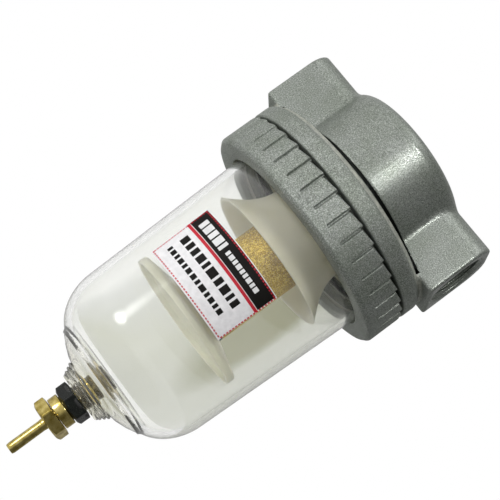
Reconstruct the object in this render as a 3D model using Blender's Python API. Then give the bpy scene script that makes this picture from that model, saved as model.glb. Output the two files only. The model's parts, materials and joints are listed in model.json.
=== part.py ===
"""A compressed air filter: an aluminium head with two ports in line, a clear bowl held by a
threaded collar ring, a sintered bronze element under a swirl deflector, and a brass drain.

Lengths are in millimetres until lathe(), prism() and friends turn them into metres. The origin is
where the port line (X) crosses the bowl's axis (Z). The air enters at -X and leaves at +X.
"""

from math import cos, pi, radians, sin

import bmesh
import bpy
from mathutils import Matrix, Vector

MM = 0.001
GAP = 0.3  # clearance between pieces that touch on the real filter
PAST = 1.0  # how far a cutter runs past the face that it opens

# Head
PORT_HALF_LENGTH = 44.0  # from the bowl's axis to a port face
PORT_HALF_WIDTH = 14.4
PORT_TOP = 13.6
PORT_BOTTOM = -13.0
PORT_CORNER = 9.0  # rounding of the two upper edges of a port block
PORT_EDGE = 0.7  # chamfer round a port face
THREAD_RADIUS = 10.5  # G 1/2 thread, outer radius
THREAD_DEPTH = 16.0
PASSAGE_RADIUS = 9.3
DOME_RADIUS = 28.2
DOME_FOOT_RADIUS = 30.2
DOME_TOP = 15.4
DOME_ROUNDING = 4.6
DOME_CROWN = 0.7  # how far the top falls from its centre to its edge
BLOCK_START = 13.0  # where a port block begins inside the dome
FLANGE_RADIUS = 42.0
FLANGE_TOP = -12.9
FLANGE_BOTTOM = -21.1
FLANGE_CHAMFER = 2.6
SPIGOT_RADIUS = 37.9
SPIGOT_BOTTOM = -26.4
SPIGOT_BORE = 31.6
CHAMBER_RADIUS = 29.6
CHAMBER_ROOF = -16.5
DEFLECTOR_SEAT = -24.0
NECK_RADIUS = 13.6
NECK_BORE = 9.0
NECK_BOTTOM = -30.0
NECK_TOP = 6.5
INLET_END = -17.0  # where the inlet passage stops, short of the neck
DOWN_PASSAGE_RADIUS = 6.0
DOWN_PASSAGE_X = -21.5
SPIDER_ARMS = 3
SPIDER_TOP = -23.0
SPIDER_BOTTOM = -29.4
SPIDER_HUB = 4.4  # outer radius of the hub that holds the stud
SPIDER_ARM = 2.6  # width of an arm
SPIDER_STEP = 0.6  # how much lower than the hub an arm is at each end
SPIDER_PHASE = 30.0  # degrees from +X to the first arm

# Collar ring
COLLAR_RADIUS = 42.0
COLLAR_TOP = FLANGE_BOTTOM - 2 * GAP
COLLAR_BOTTOM = -35.7
COLLAR_BORE = SPIGOT_RADIUS + GAP
COLLAR_LIP_RADIUS = 34.0
COLLAR_LIP_TOP = -33.4
COLLAR_CHAMFER = 1.3
COLLAR_EDGE = 0.5
GROOVES = 38
GROOVE_PHASE = 2.4  # degrees from +X to the first groove
GROOVE_BOTTOM = -31.3
GROOVE_WIDTH = 0.8
GROOVE_DEPTH = 0.7

# Bowl
BOWL_FLANGE_RADIUS = 37.5
BOWL_FLANGE_TOP = -29.0
BOWL_FLANGE_BOTTOM = -32.0
BOWL_TOP_RADIUS = 33.4
BOWL_TAPER = 0.032  # radius lost for each millimetre down
BOWL_WALL = 2.3
BOWL_SHOULDER = -96.5  # where the wall starts to curve in
BOWL_FLOOR_RADIUS = 21.0
BOWL_FLOOR = -114.8
BOWL_CORNER_TURN = 70.2  # degrees that the corner turns from wall to floor
FOOT_CONE = ((17.2, -117.6), (13.4, -120.0), (10.6, -121.5))  # radius and height, going down
BOSS_TOP = -122.3
BOSS_RADIUS = 9.1
BOSS_BOTTOM = -124.0
BOSS_BORE = 5.2
SUMP_FLOOR = -121.0
SUMP_RADIUS = 8.7
SUMP_TOP = -117.4  # where the sump widens into the bowl's floor
SEAL_CORD = 2.0
SEAL_RADIUS = 35.6

# Label
LABEL_TOP = -55.5
LABEL_BOTTOM = -78.4
LABEL_FROM, LABEL_TO = -125.5, -56.7  # degrees round the bowl, from +X towards +Y
LABEL_THICKNESS = 0.3

# Deflector, element and baffle
DEFLECTOR_TOP = DEFLECTOR_SEAT - GAP
DEFLECTOR_PLATE = 2.0
DEFLECTOR_WALL = 1.4
DEFLECTOR_HUB_FLOOR = 2.0
HOOD_NECK_RADIUS = 17.4
HOOD_RIM_RADIUS = 26.4
HOOD_RIM = -47.0
HOOD_FLARE = 1.9  # power of the hood's curve: 1 is a straight cone
HOOD_RIM_LIFT = 0.35  # how much higher the inside of the rim is
SWIRL_SLOTS = 12
SLOT_INNER, SLOT_OUTER = 20.0, 28.6
SLOT_WIDTH = 3.2
SLOT_SLANT = 35.0
SLOT_REACH = 2.5  # how far a slot's cutter goes above and below the plate's middle
ELEMENT_RADIUS = 12.3
ELEMENT_BORE = 9.2
ELEMENT_TOP = -34.1
ELEMENT_LENGTH = 40.0
GASKET = 1.2
GASKET_BORE = 8.9
STUD_RADIUS = 2.0
STUD_BOTTOM = -79.9
STUD_CHAMFER = 0.4
BAFFLE_HUB_RADIUS = ELEMENT_RADIUS + 1.0
BAFFLE_RADIUS = 25.3
BAFFLE_RIM = -82.0
BAFFLE_RIM_HEIGHT = 3.0
BAFFLE_WALL = 1.5
BAFFLE_BOSS_RADIUS = 4.2  # the moulded nut under the disc
BAFFLE_BOSS_BOTTOM = -79.4

# Drain
NUT_TURN = 25.0  # degrees from +X to a corner of every nut
NUT_CHAMFER = 0.5
DRAIN_SHANK_RADIUS = 4.9
DRAIN_BORE = 2.6
DRAIN_ORIFICE = 1.4
DRAIN_SEAT = -118.0
DRAIN_TOP = -113.6
DRAIN_GASKET_RADIUS = 8.2
OUTER_SEAL_CORD = 1.6
SEAL_SEAT_RADIUS, SEAL_SEAT_DEPTH = 6.9, 1.9
INNER_NUT_FLATS = 14.0
INNER_NUT_TOP = -115.4
LOCK_NUT_FLATS = 13.0
LOCK_NUT_BOTTOM = -129.1
BODY_RADIUS = 5.75
BODY_CHAMFER = 0.3
BODY_BOTTOM = -132.9
KNOB_FLATS = 13.4
KNOB_BOTTOM = -137.5
KNOB_CHAMFER = 0.6
DRAIN_SEAL_HEIGHT = 1.6
DRAIN_SEAL_CHAMFER = 0.3
STEM_RADIUS = 2.2
STEM_BORE = 0.8
STEM_GROOVE = -124.0
STEM_GROOVE_DEPTH, STEM_GROOVE_WIDTH = 0.7, 1.2
STEM_SEAL_CORD, STEM_SEAL_RADIUS = 0.6, 2.1
STEM_SOCKET = 1.5  # how far the stem reaches into the knob
TUBE_RADIUS = 2.0
TUBE_BORE = 1.0
TUBE_TIP = -151.9

# Sides of round pieces, and steps along a quarter or so of a rounding
FINE, MEDIUM, THREAD, COARSE, ROUND_SMALL, ROUND_TINY = 56, 40, 32, 24, 20, 16
CORD_STEPS, SMALL_CORD_STEPS = 8, 6
FOOT_STEPS, DOME_STEPS, PORT_STEPS, HOOD_STEPS, BOWL_STEPS = 2, 4, 5, 6, 6
LABEL_COLUMNS = 14
SHARP = 35.0  # degrees between faces that shade as a crease


def clear_scene():
    for old in list(bpy.data.objects):
        bpy.data.objects.remove(old, do_unlink=True)


def principled(name, colour, roughness, metallic=0.0, transmission=0.0):
    """A Principled material; colour is linear RGB."""
    material = bpy.data.materials.new(name)
    material.use_nodes = True
    shader = material.node_tree.nodes["Principled BSDF"]
    shader.inputs["Base Color"].default_value = (*colour, 1.0)
    shader.inputs["Roughness"].default_value = roughness
    shader.inputs["Metallic"].default_value = metallic
    shader.inputs["Transmission Weight"].default_value = transmission
    return material


def link(name, bm, material):
    """The bmesh, in metres, as a smooth-shaded object with sharp edges kept."""
    bmesh.ops.remove_doubles(bm, verts=bm.verts, dist=1e-7)
    bmesh.ops.dissolve_degenerate(bm, edges=bm.edges, dist=1e-7)
    bmesh.ops.recalc_face_normals(bm, faces=bm.faces)
    mesh = bpy.data.meshes.new(name)
    bm.to_mesh(mesh)
    bm.free()
    mesh.shade_smooth()
    mesh.set_sharp_from_angle(angle=radians(SHARP))
    obj = bpy.data.objects.new(name, mesh)
    bpy.context.scene.collection.objects.link(obj)
    if material:
        mesh.materials.append(material)
    return obj


def lathe(name, profile, material=None, sides=MEDIUM):
    """Turns a closed outline of (radius, height) points round Z."""
    bm = bmesh.new()
    corners = [bm.verts.new((r * MM, 0.0, z * MM)) for r, z in profile]
    edges = [bm.edges.new((a, b)) for a, b in zip(corners, corners[1:] + corners[:1])]
    on_axis = [e for e in edges if all(abs(v.co.x) < 1e-9 for v in e.verts)]
    turned = [e for e in edges if e not in on_axis]
    bmesh.ops.spin(
        bm,
        geom=corners + turned,
        cent=(0, 0, 0),
        axis=(0, 0, 1),
        angle=2 * pi,
        steps=sides,
        use_merge=True,
        use_duplicate=False,
    )
    loose = [e for e in bm.edges if not e.link_faces]
    bmesh.ops.delete(bm, geom=loose, context="EDGES")
    return link(name, bm, material)


def prism(name, outline, start, end, material=None, axis="Z", chamfer=0.0):
    """Extrudes a flat outline of (u, v) points along an axis from start to end.

    Along Z the outline is (x, y); along X it is (y, z). chamfer bevels the edges of both ends.
    """
    bm = bmesh.new()
    if axis == "Z":
        corners = [bm.verts.new((u * MM, v * MM, start * MM)) for u, v in outline]
        travel = Vector((0, 0, (end - start) * MM))
    else:
        corners = [bm.verts.new((start * MM, u * MM, v * MM)) for u, v in outline]
        travel = Vector(((end - start) * MM, 0, 0))
    face = bm.faces.new(corners)
    swept = bmesh.ops.extrude_face_region(bm, geom=[face])["geom"]
    bmesh.ops.translate(bm, verts=[v for v in swept if isinstance(v, bmesh.types.BMVert)], vec=travel)
    if chamfer:
        along = travel.normalized()
        rims = [e for e in bm.edges if abs((e.verts[0].co - e.verts[1].co).dot(along)) < 1e-9]
        bmesh.ops.bevel(bm, geom=rims, offset=chamfer * MM, segments=1, affect="EDGES")
    return link(name, bm, material)


def circle(radius, sides=COARSE, centre=(0.0, 0.0)):
    turn = 2 * pi / sides
    return [
        (centre[0] + radius * cos(i * turn), centre[1] + radius * sin(i * turn))
        for i in range(sides)
    ]


def hexagon(across_flats):
    """A hexagon turned the way the drain's nuts stand on the bowl."""
    radius = across_flats / 2 / cos(pi / 6)
    angles = [radians(NUT_TURN + 60 * i) for i in range(6)]
    return [(radius * cos(a), radius * sin(a)) for a in angles]


def bar(inner, outer, width):
    """A rectangle lying along +X, centred on it."""
    half = width / 2
    return [(inner, -half), (outer, -half), (outer, half), (inner, half)]


def arc(centre, radius, start, end, steps):
    """Points on an arc, angles in degrees."""
    angles = [radians(start + (end - start) * i / steps) for i in range(steps + 1)]
    return [(centre[0] + radius * cos(a), centre[1] + radius * sin(a)) for a in angles]


def ring(inner, outer, top, bottom):
    """The outline of a plain ring, for lathe()."""
    return [(outer, top), (outer, bottom), (inner, bottom), (inner, top)]


def rounded_ring(radius, cord, height, steps=CORD_STEPS):
    """The outline of an O-ring, for lathe()."""
    return arc((radius, height), cord / 2, 90, 90 - 360 * (1 - 1 / steps), steps - 1)


def boolean(target, other, operation="DIFFERENCE"):
    """Cuts or joins other into target and keeps the result as target's own mesh."""
    modifier = target.modifiers.new(operation.lower(), "BOOLEAN")
    modifier.operation = operation
    modifier.object = other
    modifier.solver = "EXACT"
    graph = bpy.context.evaluated_depsgraph_get()
    cut = bpy.data.meshes.new_from_object(target.evaluated_get(graph))
    target.modifiers.clear()
    old = target.data
    target.data = cut
    cut.name = old.name
    cut.set_sharp_from_angle(angle=radians(SHARP))
    bpy.data.meshes.remove(old)
    bpy.data.objects.remove(other, do_unlink=True)


def turned_copies(obj, count):
    """Joins count copies of obj's mesh, spread evenly round Z, into obj."""
    bm = bmesh.new()
    for i in range(count):
        part = obj.data.copy()
        part.transform(Matrix.Rotation(2 * pi * i / count, 4, "Z"))
        bm.from_mesh(part)
        bpy.data.meshes.remove(part)
    bm.to_mesh(obj.data)
    bm.free()


def bowl_radius(z):
    return BOWL_TOP_RADIUS + BOWL_TAPER * (z - BOWL_FLANGE_BOTTOM)


def port_outline():
    """The end view of a port block: flat sides and floor, two rounded upper edges."""
    across = PORT_HALF_WIDTH - PORT_CORNER
    up = PORT_TOP - PORT_CORNER
    return [
        (-PORT_HALF_WIDTH, PORT_BOTTOM),
        (PORT_HALF_WIDTH, PORT_BOTTOM),
        *arc((across, up), PORT_CORNER, 0, 90, PORT_STEPS),
        *arc((-across, up), PORT_CORNER, 90, 180, PORT_STEPS),
    ]


def make_head(material):
    """Dome, flange, spigot and neck turned in one, with the port block, passages and spider."""
    foot = DOME_FOOT_RADIUS - DOME_RADIUS
    edge_top = DOME_TOP - DOME_CROWN
    outline = [
        (0, DOME_TOP),
        (DOME_RADIUS / 2, DOME_TOP - DOME_CROWN / 4),
        *arc((DOME_RADIUS - DOME_ROUNDING, edge_top - DOME_ROUNDING), DOME_ROUNDING, 90, 0, DOME_STEPS),
        *arc((DOME_FOOT_RADIUS, FLANGE_TOP + foot), foot, 180, 270, FOOT_STEPS),
        (FLANGE_RADIUS - FLANGE_CHAMFER, FLANGE_TOP),
        (FLANGE_RADIUS, FLANGE_TOP - FLANGE_CHAMFER),
        (FLANGE_RADIUS, FLANGE_BOTTOM),
        (SPIGOT_RADIUS, FLANGE_BOTTOM),
        (SPIGOT_RADIUS, SPIGOT_BOTTOM),
        (SPIGOT_BORE, SPIGOT_BOTTOM),
        (SPIGOT_BORE, DEFLECTOR_SEAT),
        (CHAMBER_RADIUS, DEFLECTOR_SEAT),
        (CHAMBER_RADIUS, CHAMBER_ROOF),
        (NECK_RADIUS, CHAMBER_ROOF),
        (NECK_RADIUS, NECK_BOTTOM),
        (NECK_BORE, NECK_BOTTOM),
        (NECK_BORE, NECK_TOP),
        (0, NECK_TOP),
    ]
    head = lathe("head_casting", outline, material, FINE)
    for side in (-1, 1):
        start, end = side * BLOCK_START, side * PORT_HALF_LENGTH
        block = prism("port_block", port_outline(), start, end, axis="X", chamfer=PORT_EDGE)
        boolean(head, block, "UNION")
    around_passage = circle(DOWN_PASSAGE_RADIUS, COARSE, (DOWN_PASSAGE_X, 0))
    boolean(head, prism("down_passage", around_passage, CHAMBER_ROOF - PAST, 0.0))
    face = PORT_HALF_LENGTH + PAST
    boolean(head, prism("inlet", circle(PASSAGE_RADIUS), -face, INLET_END, axis="X"))
    boolean(head, prism("outlet", circle(PASSAGE_RADIUS), 0.0, face, axis="X"))
    for side in (-1, 1):
        start = side * (PORT_HALF_LENGTH - THREAD_DEPTH)
        boolean(head, prism("thread", circle(THREAD_RADIUS, THREAD), start, side * face, axis="X"))
    boolean(head, make_spider(), "UNION")
    return head


def make_spider():
    """The hub that holds the centre stud, and its arms, which end inside the neck's wall."""
    bore = STUD_RADIUS + GAP
    hub = lathe("hub", ring(bore, SPIDER_HUB, SPIDER_TOP, SPIDER_BOTTOM), None, COARSE)
    inner, outer = SPIDER_HUB - PAST, NECK_BORE + PAST
    top, bottom = SPIDER_TOP - SPIDER_STEP, SPIDER_BOTTOM + SPIDER_STEP
    for i in range(SPIDER_ARMS):
        arm = prism("arm", bar(inner, outer, SPIDER_ARM), top, bottom)
        arm.data.transform(Matrix.Rotation(radians(SPIDER_PHASE + 360 * i / SPIDER_ARMS), 4, "Z"))
        boolean(hub, arm, "UNION")
    return hub


def make_collar(material):
    outline = [
        (COLLAR_RADIUS - COLLAR_EDGE, COLLAR_TOP),
        (COLLAR_RADIUS, COLLAR_TOP - COLLAR_EDGE),
        (COLLAR_RADIUS, COLLAR_BOTTOM + COLLAR_CHAMFER),
        (COLLAR_RADIUS - COLLAR_CHAMFER, COLLAR_BOTTOM),
        (COLLAR_LIP_RADIUS, COLLAR_BOTTOM),
        (COLLAR_LIP_RADIUS, COLLAR_LIP_TOP),
        (COLLAR_BORE, COLLAR_LIP_TOP),
        (COLLAR_BORE, COLLAR_TOP),
    ]
    collar = lathe("collar_ring", outline, material, 2 * GROOVES)
    section = bar(COLLAR_RADIUS - GROOVE_DEPTH, COLLAR_RADIUS + PAST, GROOVE_WIDTH)
    groove = prism("groove", section, GROOVE_BOTTOM, COLLAR_TOP + PAST)
    groove.data.transform(Matrix.Rotation(radians(GROOVE_PHASE), 4, "Z"))
    turned_copies(groove, GROOVES)
    boolean(collar, groove)
    return collar


def make_bowl(material):
    """Outer profile down from the flange, then the inner profile back up."""
    shoulder_radius = bowl_radius(BOWL_SHOULDER)
    fall = BOWL_SHOULDER - BOWL_FLOOR
    reach = shoulder_radius - BOWL_FLOOR_RADIUS
    turn = radians(BOWL_CORNER_TURN)
    angles = [turn * i / BOWL_STEPS for i in range(1, BOWL_STEPS + 1)]
    corner = [
        (
            BOWL_FLOOR_RADIUS + reach * (cos(a) - cos(turn)) / (1 - cos(turn)),
            BOWL_SHOULDER - fall * sin(a) / sin(turn),
        )
        for a in angles
    ]
    wall = BOWL_WALL
    inner_corner = [(r - wall * cos(a), z + wall * sin(a)) for (r, z), a in zip(corner, angles)]
    outline = [
        (BOWL_FLANGE_RADIUS, BOWL_FLANGE_TOP),
        (BOWL_FLANGE_RADIUS, BOWL_FLANGE_BOTTOM),
        (bowl_radius(BOWL_FLANGE_BOTTOM), BOWL_FLANGE_BOTTOM),
        (shoulder_radius, BOWL_SHOULDER),
        *corner,
        *FOOT_CONE,
        (BOSS_RADIUS, BOSS_TOP),
        (BOSS_RADIUS, BOSS_BOTTOM),
        (BOSS_BORE, BOSS_BOTTOM),
        (BOSS_BORE, SUMP_FLOOR),
        (SUMP_RADIUS, SUMP_FLOOR),
        (SUMP_RADIUS, SUMP_TOP),
        *reversed(inner_corner),
        (shoulder_radius - wall, BOWL_SHOULDER),
        (bowl_radius(BOWL_FLANGE_TOP) - wall, BOWL_FLANGE_TOP),
    ]
    return lathe("bowl", outline, material, FINE)


def make_label(material):
    """A thin curved sheet that follows the bowl's taper."""
    bm = bmesh.new()
    columns, span = LABEL_COLUMNS, LABEL_TO - LABEL_FROM
    angles = [radians(LABEL_FROM + span * i / columns) for i in range(columns + 1)]
    rows = []
    for z in (LABEL_TOP, LABEL_BOTTOM):
        for offset in (GAP, GAP + LABEL_THICKNESS):
            radius = (bowl_radius(z) + offset) * MM
            rows.append([bm.verts.new((radius * cos(a), radius * sin(a), z * MM)) for a in angles])
    top_in, top_out, low_in, low_out = rows
    for a, b in ((top_out, top_in), (top_in, low_in), (low_in, low_out), (low_out, top_out)):
        for i in range(columns):
            bm.faces.new((a[i], a[i + 1], b[i + 1], b[i]))
    for i in (0, columns):
        bm.faces.new((top_in[i], top_out[i], low_out[i], low_in[i]))
    return link("label", bm, material)


def hood_curve():
    """The hood's outer line, flaring out more and more towards its rim."""
    spread, fall = HOOD_RIM_RADIUS - HOOD_NECK_RADIUS, HOOD_RIM - NECK_BOTTOM
    shares = [i / HOOD_STEPS for i in range(HOOD_STEPS + 1)]
    return [(HOOD_NECK_RADIUS + spread * u**HOOD_FLARE, NECK_BOTTOM + fall * u) for u in shares]


def make_deflector(material):
    """A plate with slanted swirl slots, a hub that clamps under the neck, and the flared hood."""
    plate_bottom = DEFLECTOR_TOP - DEFLECTOR_PLATE
    hub_bore = NECK_RADIUS + GAP
    seat = NECK_BOTTOM - GAP
    floor = seat - DEFLECTOR_HUB_FLOOR
    outer = hood_curve()
    inner = [(r - DEFLECTOR_WALL, z - HOOD_RIM_LIFT) for r, z in outer[1:-1]]
    rim_radius = outer[-1][0]
    outline = [
        (SPIGOT_BORE - GAP, DEFLECTOR_TOP),
        (SPIGOT_BORE - GAP, plate_bottom),
        (outer[0][0], plate_bottom),
        *outer,
        (rim_radius - DEFLECTOR_WALL, HOOD_RIM),
        *reversed(inner),
        (HOOD_NECK_RADIUS - DEFLECTOR_WALL, floor),
        (NECK_BORE, floor),
        (NECK_BORE, seat),
        (hub_bore, seat),
        (hub_bore, DEFLECTOR_TOP),
    ]
    deflector = lathe("swirl_deflector", outline, material, MEDIUM)
    slot = prism("slot", bar(SLOT_INNER, SLOT_OUTER, SLOT_WIDTH), -SLOT_REACH, SLOT_REACH)
    slot.data.transform(Matrix.Rotation(radians(SLOT_SLANT), 4, "X"))
    slot.data.transform(Matrix.Translation((0, 0, (DEFLECTOR_TOP - DEFLECTOR_PLATE / 2) * MM)))
    turned_copies(slot, SWIRL_SLOTS)
    boolean(deflector, slot)
    return deflector


def make_baffle(hub_top, material):
    """A shallow cone with a turned-down rim and, underneath, the boss that screws onto the stud."""
    wall, bore = BAFFLE_WALL, STUD_RADIUS + GAP
    rim_top = BAFFLE_RIM + BAFFLE_RIM_HEIGHT
    outline = [
        (BAFFLE_HUB_RADIUS, hub_top),
        (BAFFLE_RADIUS, rim_top),
        (BAFFLE_RADIUS, BAFFLE_RIM),
        (BAFFLE_RADIUS - wall, BAFFLE_RIM),
        (BAFFLE_RADIUS - wall, rim_top - wall),
        (BAFFLE_HUB_RADIUS, hub_top - wall),
        (BAFFLE_BOSS_RADIUS, hub_top - wall),
        (BAFFLE_BOSS_RADIUS, BAFFLE_BOSS_BOTTOM),
        (bore, BAFFLE_BOSS_BOTTOM),
        (bore, hub_top),
    ]
    lathe("baffle_disc", outline, material, MEDIUM)


def make_element_group(materials):
    """Gasket, element, gasket and baffle, stacked down the stud."""
    rubber = materials["rubber"]
    top_gasket = ELEMENT_TOP + GAP
    outline = ring(GASKET_BORE, ELEMENT_RADIUS, top_gasket + GASKET, top_gasket)
    lathe("element_top_gasket", outline, rubber)
    element_bottom = ELEMENT_TOP - ELEMENT_LENGTH
    outline = ring(ELEMENT_BORE, ELEMENT_RADIUS, ELEMENT_TOP, element_bottom)
    lathe("filter_element", outline, materials["bronze"])
    gasket_top = element_bottom - GAP
    gasket_bottom = gasket_top - GASKET
    outline = ring(GASKET_BORE, ELEMENT_RADIUS, gasket_top, gasket_bottom)
    lathe("element_bottom_gasket", outline, rubber)
    make_baffle(gasket_bottom - GAP, materials["baffle"])
    stud, top = circle(STUD_RADIUS, ROUND_SMALL), SPIDER_TOP + PAST / 2
    prism("centre_stud", stud, top, STUD_BOTTOM, materials["steel"], chamfer=STUD_CHAMFER)


def make_drain_fixed(materials):
    """The pieces clamped to the bowl: bush, both nuts, gasket and outer O-ring."""
    brass, black, rubber = materials["brass"], materials["black"], materials["rubber"]
    body_top, around = LOCK_NUT_BOTTOM - GAP, circle(BODY_RADIUS)
    body = prism("drain_body", around, body_top, BODY_BOTTOM, brass, chamfer=BODY_CHAMFER)
    boolean(body, prism("shank", circle(DRAIN_SHANK_RADIUS), DRAIN_TOP, body_top - PAST), "UNION")
    orifice = circle(DRAIN_ORIFICE, ROUND_TINY)
    boolean(body, prism("orifice", orifice, DRAIN_TOP + PAST, DRAIN_SEAT - PAST))
    boolean(body, prism("bore", circle(DRAIN_BORE), DRAIN_SEAT, BODY_BOTTOM - PAST))
    thread = DRAIN_SHANK_RADIUS + GAP
    gasket_bottom = SUMP_FLOOR + GAP
    gasket_top = gasket_bottom + GASKET
    outline = ring(thread, DRAIN_GASKET_RADIUS, gasket_top, gasket_bottom)
    lathe("drain_inner_gasket", outline, rubber, COARSE)
    section, low = hexagon(INNER_NUT_FLATS), gasket_top + GAP
    nut = prism("drain_inner_nut", section, INNER_NUT_TOP, low, brass, chamfer=NUT_CHAMFER)
    boolean(nut, prism("bore", circle(thread), INNER_NUT_TOP + PAST, gasket_top - PAST))
    top = BOSS_BOTTOM - GAP
    section = hexagon(LOCK_NUT_FLATS)
    lock = prism("drain_lock_nut", section, top, LOCK_NUT_BOTTOM, black, chamfer=NUT_CHAMFER)
    boolean(lock, prism("bore", circle(thread), top + PAST, LOCK_NUT_BOTTOM - PAST))
    boolean(lock, prism("seat", circle(SEAL_SEAT_RADIUS), top + PAST, top - SEAL_SEAT_DEPTH))
    seal_radius, seal_height = thread + OUTER_SEAL_CORD / 2, top - SEAL_SEAT_DEPTH / 2
    outline = rounded_ring(seal_radius, OUTER_SEAL_CORD, seal_height)
    lathe("drain_outer_o_ring", outline, rubber, COARSE)


def make_drain_moving(materials):
    """The pieces that screw down when the drain is opened: seal pad, stem, O-ring, knob and tube."""
    brass, rubber = materials["brass"], materials["rubber"]
    seal_top = DRAIN_SEAT - GAP
    seal_bottom = seal_top - DRAIN_SEAL_HEIGHT
    pad = circle(STEM_RADIUS, ROUND_SMALL)
    prism("drain_seal", pad, seal_top, seal_bottom, rubber, chamfer=DRAIN_SEAL_CHAMFER)
    stem_top = seal_bottom - GAP
    knob_top = BODY_BOTTOM - GAP
    stem_bottom = knob_top - STEM_SOCKET
    waist = STEM_RADIUS - STEM_GROOVE_DEPTH
    groove_top, groove_bottom = (STEM_GROOVE + side * STEM_GROOVE_WIDTH / 2 for side in (1, -1))
    outline = [
        (STEM_RADIUS, stem_top),
        (STEM_RADIUS, groove_top),
        (waist, groove_top),
        (waist, groove_bottom),
        (STEM_RADIUS, groove_bottom),
        (STEM_RADIUS, stem_bottom),
        (STEM_BORE, stem_bottom),
        (STEM_BORE, stem_top),
    ]
    lathe("drain_stem", outline, brass, ROUND_SMALL)
    outline = rounded_ring(STEM_SEAL_RADIUS, STEM_SEAL_CORD, STEM_GROOVE, SMALL_CORD_STEPS)
    lathe("drain_stem_o_ring", outline, rubber, ROUND_SMALL)
    knob = prism("drain_knob", hexagon(KNOB_FLATS), knob_top, KNOB_BOTTOM, brass, chamfer=KNOB_CHAMFER)
    socket_floor = stem_bottom - GAP
    socket = circle(STEM_RADIUS + GAP, ROUND_SMALL)
    boolean(knob, prism("socket", socket, knob_top + PAST, socket_floor))
    tube_hole = circle(TUBE_RADIUS + GAP, ROUND_SMALL)
    boolean(knob, prism("bore", tube_hole, socket_floor, KNOB_BOTTOM - PAST))
    outline = ring(TUBE_BORE, TUBE_RADIUS, socket_floor - GAP, TUBE_TIP)
    lathe("drain_tube", outline, brass, ROUND_SMALL)


def main():
    clear_scene()
    materials = {
        "cast": principled("cast_aluminium", (0.33, 0.35, 0.34), 0.42, 0.85),
        "clear": principled("clear_plastic", (0.93, 0.95, 0.93), 0.06, 0.0, 0.9),
        "deflector": principled("milky_plastic", (0.86, 0.86, 0.80), 0.35, 0.0, 0.2),
        "baffle": principled("pale_plastic", (0.72, 0.74, 0.55), 0.35, 0.0, 0.2),
        "bronze": principled("sintered_bronze", (0.60, 0.42, 0.12), 0.6, 0.7),
        "brass": principled("brass", (0.66, 0.52, 0.20), 0.28, 1.0),
        "black": principled("black_plastic", (0.012, 0.014, 0.013), 0.35),
        "steel": principled("steel", (0.55, 0.55, 0.53), 0.3, 1.0),
        "rubber": principled("rubber", (0.02, 0.02, 0.02), 0.6),
        "label": principled("label_paper", (0.85, 0.84, 0.82), 0.45),
        "slip": principled("slip_plastic", (0.75, 0.74, 0.70), 0.4),
    }
    make_head(materials["cast"])
    make_collar(materials["cast"])
    make_bowl(materials["clear"])
    make_label(materials["label"])
    washer_top, washer_bottom = BOWL_FLANGE_BOTTOM - GAP, COLLAR_LIP_TOP + GAP
    outline = ring(COLLAR_LIP_RADIUS, BOWL_FLANGE_RADIUS, washer_top, washer_bottom)
    lathe("bowl_slip_washer", outline, materials["slip"])
    seal_height = (SPIGOT_BOTTOM + BOWL_FLANGE_TOP) / 2
    lathe("bowl_o_ring", rounded_ring(SEAL_RADIUS, SEAL_CORD, seal_height), materials["rubber"])
    make_deflector(materials["deflector"])
    make_element_group(materials)
    make_drain_fixed(materials)
    make_drain_moving(materials)


main()
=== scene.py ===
"""The looks of the compressed air filter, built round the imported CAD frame.

Shapes are worked out in millimetres and become metres in build(). The bowl's axis is Z and the port
line is X, as in the frame; the air enters at -X. Angles round the axis run from +X towards +Y.
"""

import json
from math import cos, degrees, pi, radians, sin, sqrt, tan

import bpy
import numpy as np
from mathutils import Matrix, Vector
from mathutils.kdtree import KDTree


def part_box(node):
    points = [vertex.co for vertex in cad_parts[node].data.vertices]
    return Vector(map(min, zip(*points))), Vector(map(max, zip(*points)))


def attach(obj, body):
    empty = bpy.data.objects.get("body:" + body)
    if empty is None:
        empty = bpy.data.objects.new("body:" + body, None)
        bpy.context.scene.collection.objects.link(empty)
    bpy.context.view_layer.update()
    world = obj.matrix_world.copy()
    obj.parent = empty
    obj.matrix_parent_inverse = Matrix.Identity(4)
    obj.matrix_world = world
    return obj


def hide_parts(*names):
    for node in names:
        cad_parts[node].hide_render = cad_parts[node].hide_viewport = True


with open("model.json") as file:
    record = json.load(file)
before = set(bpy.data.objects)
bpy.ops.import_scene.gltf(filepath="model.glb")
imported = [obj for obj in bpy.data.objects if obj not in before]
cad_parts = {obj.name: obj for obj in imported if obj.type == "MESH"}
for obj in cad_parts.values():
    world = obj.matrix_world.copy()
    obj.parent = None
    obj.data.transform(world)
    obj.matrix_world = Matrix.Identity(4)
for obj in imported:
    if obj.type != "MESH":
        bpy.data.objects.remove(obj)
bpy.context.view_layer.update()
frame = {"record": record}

MM = 0.001
BODY = {
    node: body
    for body, nodes in frame["record"]["behaviour"]["bodies"].items()
    for node in nodes
}


# ---------------- sizes read from the frame, in mm


def low(node):
    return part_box(node)[0] / MM


def high(node):
    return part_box(node)[1] / MM


def span(node):
    """The heights of a node's top and bottom."""
    return high(node).z, low(node).z


def radius_of(node):
    return high(node).y


PORT_END = high("head_casting").x
FLANGE_RADIUS = radius_of("head_casting")
HEAD_TOP, NECK_BOTTOM = span("head_casting")
COLLAR_RADIUS = radius_of("collar_ring")
COLLAR_TOP, COLLAR_BOTTOM = span("collar_ring")
BOWL_LIP_RADIUS = radius_of("bowl")
BOWL_TOP, BOWL_BOTTOM = span("bowl")
LABEL_TOP, LABEL_BOTTOM = span("label")
ELEMENT_RADIUS = radius_of("filter_element")
ELEMENT_TOP, ELEMENT_BOTTOM = span("filter_element")
HOOD_TOP, HOOD_RIM = NECK_BOTTOM, low("swirl_deflector").z
BAFFLE_RADIUS = radius_of("baffle_disc")
BAFFLE_TOP, BAFFLE_RIM = span("baffle_disc")

# ---------------- sizes of the detail, in mm

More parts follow.
